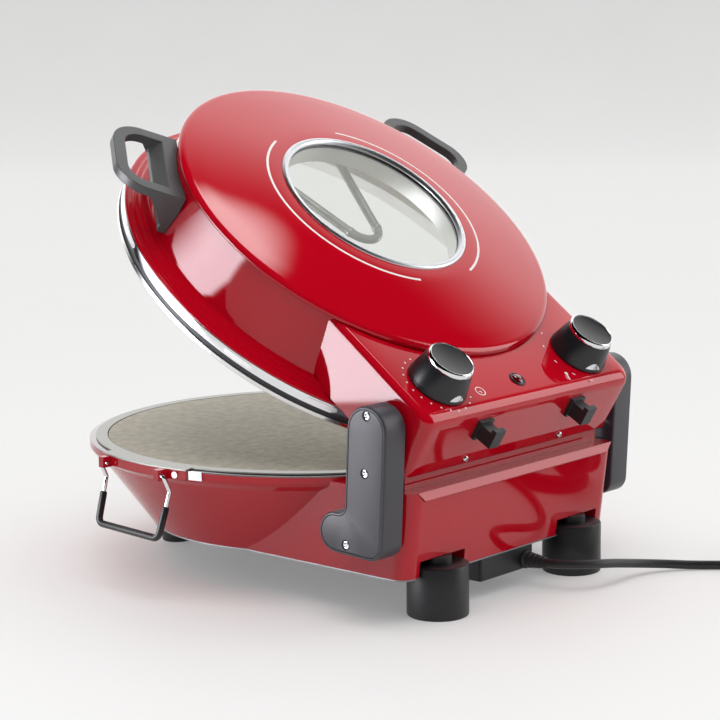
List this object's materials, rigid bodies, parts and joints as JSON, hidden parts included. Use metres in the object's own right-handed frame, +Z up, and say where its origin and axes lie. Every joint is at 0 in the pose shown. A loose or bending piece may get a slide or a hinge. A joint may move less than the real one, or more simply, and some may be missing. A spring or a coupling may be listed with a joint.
{
  "type": "electric pizza oven",
  "caption": "Round tabletop pizza maker: a red base with a turning baking stone, and a red hinged lid with a window, two knobs, two grip handles and a cord.",
  "frame": {"origin": "on the table, under the middle of the object's width and depth without its cord", "axes": "+Z up, -Y to the front where the lid opens, +Y to the hinge and the cord, X along the hinge line"},
  "size_m": [0.4393, 0.5371, 0.3556],
  "materials": {
    "red_enamel": "gloss enamel on steel sheet",
    "matte_black": "fine textured moulding",
    "soft_black": "matt",
    "chromed": "polished",
    "bright_steel": "plain",
    "aluminised": "satin",
    "heater_tube": "oxidised",
    "grey_plate": "satin grey",
    "stone": "fine grained",
    "clear_glass": "clear",
    "lamp_red": "translucent",
    "porcelain": "unglazed",
    "gasket": "silicone",
    "brass_pins": "plain"
  },
  "bodies": {
    "base": {"base_shell": "red_enamel", "rear_neck": "red_enamel", "rear_ledge": "red_enamel", "base_rim_ring": "chromed", "base_liner": "aluminised", "lower_element": "heater_tube", "element_clips": "bright_steel", "terminal_block": "porcelain", "spindle": "bright_steel", "bottom_cover": "bright_steel", "rear_foot_left": "matte_black", "rear_foot_right": "matte_black", "front_foot_left": "matte_black", "front_foot_right": "matte_black", "foot_screws": "bright_steel", "cable_box": "matte_black", "cord_gland": "soft_black", "power_cord": "soft_black", "cord_coil": "soft_black", "coil_tie": "soft_black", "plug": "soft_black", "plug_pins": "brass_pins", "hinge_arm_left": "matte_black", "hinge_arm_right": "matte_black", "arm_cover_left": "matte_black", "arm_cover_right": "matte_black", "arm_screws": "bright_steel", "hinge_pins": "bright_steel"},
    "lid": {"lid_shell": "red_enamel", "lid_dome": "red_enamel", "lid_ring": "chromed", "lid_gasket": "gasket", "lid_reflector": "aluminised", "reflector_crown": "aluminised", "upper_element": "heater_tube", "window_glass": "clear_glass", "window_ring": "chromed", "window_seal": "gasket", "lid_handle_left": "matte_black", "lid_handle_right": "matte_black", "handle_screws": "bright_steel", "control_box_cover": "bright_steel", "control_box_screws": "bright_steel", "cord_hook_left": "matte_black", "cord_hook_right": "matte_black", "timer_body": "bright_steel", "thermostat_body": "bright_steel", "pilot_lamp": "lamp_red", "hinge_bushes": "bright_steel"},
    "timer_knob": {"timer_knob": "matte_black"},
    "thermostat_knob": {"thermostat_knob": "matte_black"},
    "turntable": {"stone_carrier": "grey_plate", "baking_stone": "stone", "turn_strap": "red_enamel", "strap_plate": "chromed", "strap_screw": "chromed"},
    "bail": {"bail_wire": "chromed", "bail_sleeve": "soft_black"}
  },
  "joints": [
    {"name": "lid_hinge", "type": "hinge", "parent": "base", "child": "lid", "pos_m": [-0.0035, 0.1515, 0.1295], "axis": [1, 0, 0], "range_deg": [0, 36.2]},
    {"name": "timer_turn", "type": "hinge", "parent": "lid", "child": "timer_knob", "pos_m": [0.0785, 0.16329, 0.16424], "axis": [0, 0.5906, 0.807], "range_deg": [-300, 0]},
    {"name": "thermostat_turn", "type": "hinge", "parent": "lid", "child": "thermostat_knob", "pos_m": [-0.0855, 0.16329, 0.16424], "axis": [0, 0.5906, 0.807], "range_deg": [-270, 0]},
    {"name": "turntable_turn", "type": "hinge", "parent": "base", "child": "turntable", "pos_m": [-0.0035, -0.0265, 0.08], "axis": [0, 0, 1], "range_deg": [-200, 25]},
    {"name": "bail_swing", "type": "hinge", "parent": "turntable", "child": "bail", "pos_m": [0.1719, -0.04524, 0.0924], "axis": [-0.1063, -0.9943, 0], "range_deg": [0, 85]}
  ]
}
